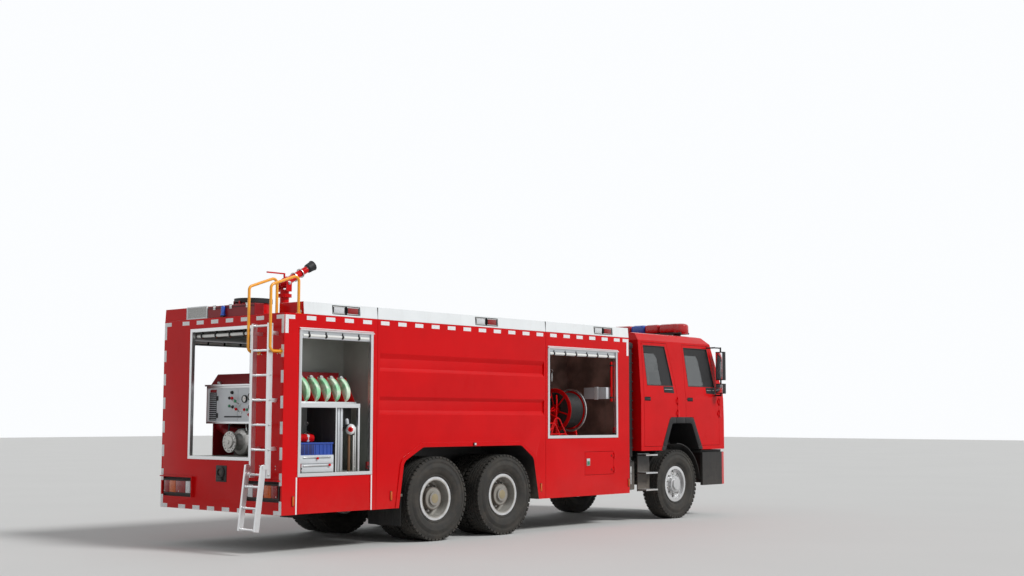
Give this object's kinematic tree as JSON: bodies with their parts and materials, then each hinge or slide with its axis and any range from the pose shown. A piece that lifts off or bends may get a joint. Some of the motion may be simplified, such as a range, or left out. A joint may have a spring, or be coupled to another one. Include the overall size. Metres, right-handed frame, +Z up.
{
  "type": "foam fire truck",
  "caption": "Crew-cab foam fire truck with side lockers, rear pump bay, roof monitor, folding ladder, tilting cab, steering and free-rolling wheels.",
  "frame": {"origin": "middle of the overall box at ground level, where the wheels stand", "axes": "+X forward, +Y to the truck's left, +Z up"},
  "size_m": [10.1624, 2.87, 3.7572],
  "materials": {
    "red_paint": "gloss red coachwork paint",
    "red_roof": "dull dark red paint",
    "white_paint": "gloss white paint",
    "black_frame": "satin black chassis paint",
    "axle_iron": "painted cast iron, dusty",
    "tyre": "dusty black tyre rubber",
    "rim": "silver painted steel wheel",
    "aluminium": "satin anodised aluminium",
    "shutter": "brushed aluminium slats",
    "yellow_paint": "gloss yellow paint",
    "black_plastic": "matt black plastic",
    "lamp": "clear and coloured lamp lenses",
    "glass": "tinted window glass",
    "cab_trim": "dark grey trim and seat cloth",
    "panel_grey": "light grey control cabinet",
    "pump_metal": "bare cast pump body",
    "rack": "white and grey shelf metal",
    "hose": "rolled woven hose",
    "light_bar": "red lens with dark base",
    "lid": "black moulded lid"
  },
  "bodies": {
    "root": {"chassis_frame": "black_frame", "leaf_springs": "black_frame", "front_axle": "axle_iron", "rear_axles": "axle_iron", "power_train": "axle_iron", "front_bumper": "red_paint", "mudguards": "black_plastic", "cab_steps": "black_frame", "rear_body": "red_paint", "tank_body": "red_paint", "front_body": "red_paint", "roof_fairings": "white_paint", "roof_lockers": "red_roof", "lamps": "lamp", "side_tanks": "black_frame", "locker_frames": "aluminium", "roller_shutters": "shutter", "rear_ladder": "aluminium", "grab_rails": "yellow_paint", "monitor_base": "red_paint", "pump_set": "pump_metal", "pump_panel": "panel_grey", "locker_racks": "rack", "hose_rolls": "hose"},
    "ladder_foot": {"ladder_foot": "aluminium"},
    "monitor_elbow": {"monitor_elbow": "red_paint"},
    "monitor_barrel": {"monitor_barrel": "red_paint"},
    "hose_reel": {"hose_reel": "red_paint"},
    "flap_right": {"flap_right": "red_paint"},
    "flap_left": {"flap_left": "red_paint"},
    "hatch": {"hatch": "red_paint"},
    "foam_lid": {"foam_lid": "lid"},
    "cab": {"cab_shell": "red_paint", "cab_glass": "glass", "cab_interior": "cab_trim", "light_bar": "light_bar"},
    "door_rear_right": {"door_rear_right": "red_paint", "glass_rear_right": "glass"},
    "door_rear_left": {"door_rear_left": "red_paint", "glass_rear_left": "glass"},
    "door_front_right": {"door_front_right": "red_paint", "glass_front_right": "glass", "mirror_right": "black_plastic"},
    "door_front_left": {"door_front_left": "red_paint", "glass_front_left": "glass", "mirror_left": "black_plastic"},
    "knuckle_right": {"knuckle_right": "axle_iron"},
    "wheel_front_right": {"tyre_front_right": "tyre", "rim_front_right": "rim"},
    "wheels_middle_right": {"tyres_middle_right": "tyre", "rims_middle_right": "rim"},
    "wheels_back_right": {"tyres_back_right": "tyre", "rims_back_right": "rim"},
    "knuckle_left": {"knuckle_left": "axle_iron"},
    "wheel_front_left": {"tyre_front_left": "tyre", "rim_front_left": "rim"},
    "wheels_middle_left": {"tyres_middle_left": "tyre", "rims_middle_left": "rim"},
    "wheels_back_left": {"tyres_back_left": "tyre", "rims_back_left": "rim"}
  },
  "joints": [
    {"name": "cab_tilt", "type": "hinge", "parent": "root", "child": "cab", "pos_m": [4.8662, 0, 1.11], "axis": [0, 1, 0], "range_deg": [0, 50]},
    {"name": "door_rear_right_hinge", "type": "hinge", "parent": "cab", "child": "door_rear_right", "pos_m": [3.5037, -1.255, 1.82], "axis": [0, 0, 1], "range_deg": [0, 70]},
    {"name": "door_rear_left_hinge", "type": "hinge", "parent": "cab", "child": "door_rear_left", "pos_m": [3.5037, 1.255, 1.82], "axis": [0, 0, -1], "range_deg": [0, 70]},
    {"name": "door_front_right_hinge", "type": "hinge", "parent": "cab", "child": "door_front_right", "pos_m": [4.7437, -1.255, 1.82], "axis": [0, 0, 1], "range_deg": [0, 70]},
    {"name": "door_front_left_hinge", "type": "hinge", "parent": "cab", "child": "door_front_left", "pos_m": [4.7437, 1.255, 1.82], "axis": [0, 0, -1], "range_deg": [0, 70]},
    {"name": "steer_right", "type": "hinge", "parent": "root", "child": "knuckle_right", "pos_m": [3.5602, -0.88, 0.562], "axis": [0, 0, 1], "range_deg": [-35, 35]},
    {"name": "steer_left", "type": "hinge", "parent": "root", "child": "knuckle_left", "pos_m": [3.5602, 0.88, 0.562], "axis": [0, 0, 1], "range_deg": [-35, 35]},
    {"name": "wheel_front_right_spin", "type": "hinge", "parent": "knuckle_right", "child": "wheel_front_right", "pos_m": [3.5602, -1.03, 0.562], "axis": [0, 1, 0], "continuous": true},
    {"name": "wheels_middle_right_spin", "type": "hinge", "parent": "root", "child": "wheels_middle_right", "pos_m": [-0.7648, -0.915, 0.562], "axis": [0, 1, 0], "continuous": true},
    {"name": "wheels_back_right_spin", "type": "hinge", "parent": "root", "child": "wheels_back_right", "pos_m": [-2.1148, -0.915, 0.562], "axis": [0, 1, 0], "continuous": true},
    {"name": "wheel_front_left_spin", "type": "hinge", "parent": "knuckle_left", "child": "wheel_front_left", "pos_m": [3.5602, 1.03, 0.562], "axis": [0, 1, 0], "continuous": true},
    {"name": "wheels_middle_left_spin", "type": "hinge", "parent": "root", "child": "wheels_middle_left", "pos_m": [-0.7648, 0.915, 0.562], "axis": [0, 1, 0], "continuous": true},
    {"name": "wheels_back_left_spin", "type": "hinge", "parent": "root", "child": "wheels_back_left", "pos_m": [-2.1148, 0.915, 0.562], "axis": [0, 1, 0], "continuous": true},
    {"name": "ladder_fold", "type": "hinge", "parent": "root", "child": "ladder_foot", "pos_m": [-4.9623, -0.9775, 1.045], "axis": [0, 1, 0], "range_deg": [0, 170]},
    {"name": "monitor_swivel", "type": "hinge", "parent": "root", "child": "monitor_elbow", "pos_m": [-3.7688, 0, 3.25], "axis": [0, 0, 1], "continuous": true},
    {"name": "monitor_elevate", "type": "hinge", "parent": "monitor_elbow", "child": "monitor_barrel", "pos_m": [-3.7688, 0, 3.42], "axis": [0, -1, 0], "range_deg": [-45, 40]},
    {"name": "reel_spin", "type": "hinge", "parent": "root", "child": "hose_reel", "pos_m": [0.9312, -0.9, 1.76], "axis": [1, 0, 0], "continuous": true},
    {"name": "flap_right_hinge", "type": "hinge", "parent": "root", "child": "flap_right", "pos_m": [-3.9338, -1.231, 0.486], "axis": [1, 0, 0], "range_deg": [0, 90]},
    {"name": "flap_left_hinge", "type": "hinge", "parent": "root", "child": "flap_left", "pos_m": [-3.9338, 1.231, 0.486], "axis": [-1, 0, 0], "range_deg": [0, 90]},
    {"name": "hatch_hinge", "type": "hinge", "parent": "root", "child": "hatch", "pos_m": [1.7552, -1.258, 0.955], "axis": [0, 0, 1], "range_deg": [0, 100]},
    {"name": "foam_lid_hinge", "type": "hinge", "parent": "root", "child": "foam_lid", "pos_m": [-4.6128, -0.09, 3.11], "axis": [0, -1, 0], "range_deg": [0, 100]}
  ],
  "couplings": [
    {"joint": "steer_left", "follows": "steer_right", "ratio": 1}
  ]
}
